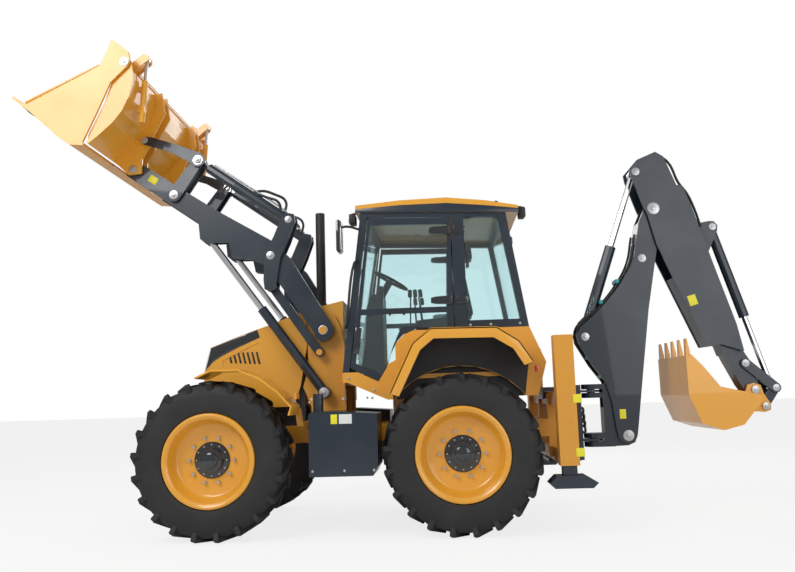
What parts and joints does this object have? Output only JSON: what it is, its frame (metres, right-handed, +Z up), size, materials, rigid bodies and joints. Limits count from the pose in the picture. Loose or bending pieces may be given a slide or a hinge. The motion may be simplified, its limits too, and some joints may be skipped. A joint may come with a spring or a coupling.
{
  "type": "backhoe loader",
  "caption": "Four-wheeled backhoe loader: levelled loader arms with a clam bucket in front, a glazed cab, and a side-shifting extendable backhoe behind.",
  "frame": {"origin": "middle of the machine's box, at ground level", "axes": "+X forward, +Y to the machine's left, +Z up"},
  "size_m": [7.035, 2.36, 4.495],
  "materials": {
    "slate_paint": "satin",
    "yellow_paint": "gloss",
    "orange_paint": "satin",
    "bright_steel": "polished",
    "black_parts": "matte",
    "tyre_rubber": "matte"
  },
  "bodies": {
    "chassis": {"main_frame": "orange_paint", "engine_block": "black_parts", "rear_cowl": "yellow_paint", "front_fenders": "yellow_paint", "front_axle": "slate_paint", "rear_axle": "slate_paint", "side_tanks": "slate_paint", "cab_lower": "yellow_paint", "cab_frame": "slate_paint", "cab_roof": "yellow_paint", "seat": "black_parts", "console": "black_parts"},
    "hood": {"hood": "yellow_paint"},
    "door_left": {"door_left": "slate_paint"},
    "door_right": {"door_right": "slate_paint"},
    "front_knuckle_left": {"front_knuckle_left": "slate_paint"},
    "front_knuckle_right": {"front_knuckle_right": "slate_paint"},
    "front_wheel_left": {"front_wheel_left": "tyre_rubber"},
    "front_wheel_right": {"front_wheel_right": "tyre_rubber"},
    "rear_wheel_left": {"rear_wheel_left": "tyre_rubber"},
    "rear_wheel_right": {"rear_wheel_right": "tyre_rubber"},
    "loader_arms": {"loader_arms": "slate_paint"},
    "bellcranks": {"bellcrank_left": "slate_paint", "bellcrank_right": "slate_paint"},
    "levelling_links": {"levelling_link_left": "slate_paint", "levelling_link_right": "slate_paint"},
    "lift_barrels": {"lift_barrels": "slate_paint"},
    "lift_rods": {"lift_rod_left": "bright_steel", "lift_rod_right": "bright_steel"},
    "tilt_barrels": {"tilt_barrel_left": "slate_paint", "tilt_barrel_right": "slate_paint"},
    "tilt_rods": {"tilt_rod_left": "bright_steel", "tilt_rod_right": "bright_steel"},
    "lever_sleeve": {"lever_sleeve": "slate_paint"},
    "tipping_levers": {"tipping_levers": "slate_paint"},
    "lever_top_bushes": {"lever_top_bush_left": "bright_steel", "lever_top_bush_right": "bright_steel"},
    "curved_links": {"curved_link_left": "slate_paint", "curved_link_right": "slate_paint"},
    "bucket_hinge_shaft": {"bucket_hinge_shaft": "bright_steel"},
    "loader_bucket_back": {"loader_bucket_back": "yellow_paint"},
    "loader_bucket_clam": {"loader_bucket_clam": "yellow_paint"},
    "clam_rods": {"clam_rod_left": "bright_steel", "clam_rod_right": "bright_steel"},
    "carriage": {"carriage": "slate_paint"},
    "swing_post": {"swing_post": "slate_paint"},
    "boom": {"boom": "slate_paint"},
    "boom_cylinder_barrel": {"boom_cylinder_barrel": "slate_paint"},
    "boom_cylinder_rod": {"boom_cylinder_rod": "bright_steel"},
    "dipper": {"dipper": "slate_paint"},
    "dipper_cylinder_barrel": {"dipper_cylinder_barrel": "slate_paint"},
    "dipper_cylinder_rod": {"dipper_cylinder_rod": "bright_steel"},
    "dipper_extension": {"dipper_extension": "slate_paint"},
    "bucket_cylinder_barrel": {"bucket_cylinder_barrel": "slate_paint"},
    "bucket_cylinder_rod": {"bucket_cylinder_rod": "bright_steel"},
    "hoe_lever": {"hoe_lever": "slate_paint"},
    "bucket_link": {"bucket_link": "slate_paint"},
    "hoe_bucket": {"hoe_bucket": "yellow_paint"},
    "stabilizer_leg_left": {"stabilizer_leg_left": "slate_paint"},
    "stabilizer_leg_right": {"stabilizer_leg_right": "slate_paint"}
  },
  "joints": [
    {"name": "hood_tilt", "type": "hinge", "parent": "chassis", "child": "hood", "pos_m": [0.98351, 0, 2.04], "axis": [0, -1, 0], "range_deg": [0, 50]},
    {"name": "door_left_swing", "type": "hinge", "parent": "chassis", "child": "door_left", "pos_m": [-0.44049, 0.797, 2.3], "axis": [0, 0, 1], "range_deg": [0, 80]},
    {"name": "door_right_swing", "type": "hinge", "parent": "chassis", "child": "door_right", "pos_m": [-0.44049, -0.797, 2.3], "axis": [0, 0, -1], "range_deg": [0, 80]},
    {"name": "steer_left", "type": "hinge", "parent": "chassis", "child": "front_knuckle_left", "pos_m": [1.70351, 0.745, 0.68], "axis": [0, 0, 1], "range_deg": [-12, 12]},
    {"name": "steer_right", "type": "hinge", "parent": "chassis", "child": "front_knuckle_right", "pos_m": [1.70351, -0.745, 0.68], "axis": [0, 0, 1], "range_deg": [-12, 12]},
    {"name": "front_wheel_left_roll", "type": "hinge", "parent": "front_knuckle_left", "child": "front_wheel_left", "pos_m": [1.70351, 0.94, 0.68], "axis": [0, 1, 0], "continuous": true},
    {"name": "rear_wheel_left_roll", "type": "hinge", "parent": "chassis", "child": "rear_wheel_left", "pos_m": [-0.45649, 0.94, 0.68], "axis": [0, 1, 0], "continuous": true},
    {"name": "front_wheel_right_roll", "type": "hinge", "parent": "front_knuckle_right", "child": "front_wheel_right", "pos_m": [1.70351, -0.94, 0.68], "axis": [0, 1, 0], "continuous": true},
    {"name": "rear_wheel_right_roll", "type": "hinge", "parent": "chassis", "child": "rear_wheel_right", "pos_m": [-0.45649, -0.94, 0.68], "axis": [0, 1, 0], "continuous": true},
    {"name": "arm_lift", "type": "hinge", "parent": "chassis", "child": "loader_arms", "pos_m": [0.79051, 0, 1.813], "axis": [0, -1, 0], "range_deg": [-82, 3]},
    {"name": "bellcrank_turn", "type": "hinge", "parent": "loader_arms", "child": "bellcranks", "pos_m": [1.27451, 0, 2.535], "axis": [0, -1, 0], "range_deg": [-3, 66]},
    {"name": "levelling_link_turn", "type": "hinge", "parent": "chassis", "child": "levelling_links", "pos_m": [0.83351, 0, 1.608], "axis": [0, -1, 0], "range_deg": [-90, 4]},
    {"name": "lift_barrel_turn", "type": "hinge", "parent": "chassis", "child": "lift_barrels", "pos_m": [0.79051, 0, 1.232], "axis": [0, -1, 0], "range_deg": [-74, 3]},
    {"name": "lift_rod_slide", "type": "slide", "parent": "lift_barrels", "child": "lift_rods", "axis": [0.5888, 0, 0.8083], "range_m": [-0.735, 0.03]},
    {"name": "tilt_barrel_turn", "type": "hinge", "parent": "bellcranks", "child": "tilt_barrels", "pos_m": [1.10051, 0, 2.876], "axis": [0, -1, 0], "range_deg": [-69, 3]},
    {"name": "tilt_rod_slide", "type": "slide", "parent": "tilt_barrels", "child": "tilt_rods", "axis": [0.8147, 0, 0.5798], "range_m": [-0.023, 0.365]},
    {"name": "lever_sleeve_turn", "type": "hinge", "parent": "loader_arms", "child": "lever_sleeve", "pos_m": [2.21251, 0, 3.165], "axis": [0, -1, 0], "range_deg": [-3, 65]},
    {"name": "lever_turn", "type": "hinge", "parent": "lever_sleeve", "child": "tipping_levers", "pos_m": [2.21251, 0, 3.165], "axis": [0, -1, 0], "range_deg": [-56, 4]},
    {"name": "lever_bush_turn", "type": "hinge", "parent": "tipping_levers", "child": "lever_top_bushes", "pos_m": [1.97451, 0, 3.498], "axis": [0, -1, 0], "range_deg": [-61, 3]},
    {"name": "curved_link_turn", "type": "hinge", "parent": "lever_top_bushes", "child": "curved_links", "pos_m": [1.97451, 0, 3.498], "axis": [0, -1, 0], "range_deg": [-3, 38]},
    {"name": "bucket_level", "type": "hinge", "parent": "loader_arms", "child": "bucket_hinge_shaft", "pos_m": [2.61951, 0, 3.441], "axis": [0, -1, 0], "range_deg": [-4, 83]},
    {"name": "bucket_tilt", "type": "hinge", "parent": "bucket_hinge_shaft", "child": "loader_bucket_back", "pos_m": [2.61951, 0, 3.441], "axis": [0, -1, 0], "range_deg": [-85, 5]},
    {"name": "clam_open", "type": "hinge", "parent": "loader_bucket_back", "child": "loader_bucket_clam", "pos_m": [2.47751, 0, 4.271], "axis": [0, -1, 0], "range_deg": [0, 60]},
    {"name": "clam_rod_slide", "type": "slide", "parent": "loader_bucket_back", "child": "clam_rods", "axis": [-0.0689, 0, 0.9976], "range_m": [-0.165, 0]},
    {"name": "side_shift", "type": "slide", "parent": "chassis", "child": "carriage", "axis": [0, 1, 0], "range_m": [-0.5, 0.5]},
    {"name": "hoe_swing", "type": "hinge", "parent": "carriage", "child": "swing_post", "pos_m": [-1.74649, 0, 0.9], "axis": [0, 0, -1], "range_deg": [-80, 80]},
    {"name": "boom_lower", "type": "hinge", "parent": "swing_post", "child": "boom", "pos_m": [-2.05749, 0, 0.741], "axis": [0, -1, 0], "range_deg": [0, 105]},
    {"name": "boom_barrel_turn", "type": "hinge", "parent": "swing_post", "child": "boom_cylinder_barrel", "pos_m": [-1.90649, 0, 1.13], "axis": [0, -1, 0], "range_deg": [0, 110]},
    {"name": "boom_rod_slide", "type": "slide", "parent": "boom_cylinder_barrel", "child": "boom_cylinder_rod", "axis": [-0.289, 0, 0.9573], "range_m": [0, 0.68]},
    {"name": "dipper_open", "type": "hinge", "parent": "boom", "child": "dipper", "pos_m": [-2.44049, 0, 2.931], "axis": [0, 1, 0], "range_deg": [0, 115]},
    {"name": "dipper_barrel_turn", "type": "hinge", "parent": "boom", "child": "dipper_cylinder_barrel", "pos_m": [-1.70649, 0, 1.695], "axis": [0, 1, 0], "range_deg": [0, 3]},
    {"name": "dipper_rod_slide", "type": "slide", "parent": "dipper_cylinder_barrel", "child": "dipper_cylinder_rod", "axis": [-0.3419, 0, 0.9397], "range_m": [-0.712, 0]},
    {"name": "dipper_extend", "type": "slide", "parent": "dipper", "child": "dipper_extension", "axis": [-0.3, 0, -0.9539], "range_m": [0, 1]},
    {"name": "bucket_barrel_turn", "type": "hinge", "parent": "dipper_extension", "child": "bucket_cylinder_barrel", "pos_m": [-3.01649, 0, 2.738], "axis": [0, 1, 0], "range_deg": [0, 6.5]},
    {"name": "bucket_rod_slide", "type": "slide", "parent": "bucket_cylinder_barrel", "child": "bucket_cylinder_rod", "axis": [-0.2762, 0, -0.9611], "range_m": [-0.21, 0]},
    {"name": "hoe_lever_turn", "type": "hinge", "parent": "dipper_extension", "child": "hoe_lever", "pos_m": [-3.20749, 0, 1.391], "axis": [0, 1, 0], "range_deg": [0, 48]},
    {"name": "bucket_link_turn", "type": "hinge", "parent": "hoe_lever", "child": "bucket_link", "pos_m": [-3.47249, 0, 1.151], "axis": [0, 1, 0], "range_deg": [-56, 0]},
    {"name": "bucket_uncurl", "type": "hinge", "parent": "dipper_extension", "child": "hoe_bucket", "pos_m": [-3.27149, 0, 1.138], "axis": [0, 1, 0], "range_deg": [0, 110]},
    {"name": "stabilizer_left_lower", "type": "slide", "parent": "chassis", "child": "stabilizer_leg_left", "axis": [0, 0, -1], "range_m": [0, 0.48]},
    {"name": "stabilizer_right_lower", "type": "slide", "parent": "chassis", "child": "stabilizer_leg_right", "axis": [0, 0, -1], "range_m": [0, 0.48]}
  ],
  "couplings": [
    {"joint": "steer_right", "follows": "steer_left", "ratio": 1},
    {"joint": "bellcrank_turn", "follows": "arm_lift", "ratio": -0.8},
    {"joint": "levelling_link_turn", "follows": "arm_lift", "ratio": 1.085},
    {"joint": "lift_barrel_turn", "follows": "arm_lift", "ratio": 0.896},
    {"joint": "lift_rod_slide", "follows": "arm_lift", "m_per_rad": 0.511},
    {"joint": "tilt_barrel_turn", "follows": "arm_lift", "ratio": 0.83},
    {"joint": "tilt_rod_slide", "follows": "bucket_tilt", "m_per_rad": -0.2446},
    {"joint": "lever_sleeve_turn", "follows": "arm_lift", "ratio": -0.79},
    {"joint": "lever_turn", "follows": "bucket_tilt", "ratio": 0.644},
    {"joint": "lever_bush_turn", "follows": "arm_lift", "ratio": 0.737},
    {"joint": "curved_link_turn", "follows": "bucket_tilt", "ratio": -0.442},
    {"joint": "bucket_level", "follows": "arm_lift", "ratio": -1},
    {"joint": "clam_rod_slide", "follows": "clam_open", "m_per_rad": -0.1536},
    {"joint": "boom_barrel_turn", "follows": "boom_lower", "ratio": 0.998},
    {"joint": "boom_rod_slide", "follows": "boom_lower", "m_per_rad": 0.361},
    {"joint": "dipper_barrel_turn", "follows": "dipper_open", "ratio": 0.0184},
    {"joint": "dipper_rod_slide", "follows": "dipper_open", "m_per_rad": -0.3533},
    {"joint": "bucket_barrel_turn", "follows": "bucket_uncurl", "ratio": 0.054},
    {"joint": "bucket_rod_slide", "follows": "bucket_uncurl", "m_per_rad": -0.108},
    {"joint": "hoe_lever_turn", "follows": "bucket_uncurl", "ratio": 0.43},
    {"joint": "bucket_link_turn", "follows": "bucket_uncurl", "ratio": -0.5}
  ]
}
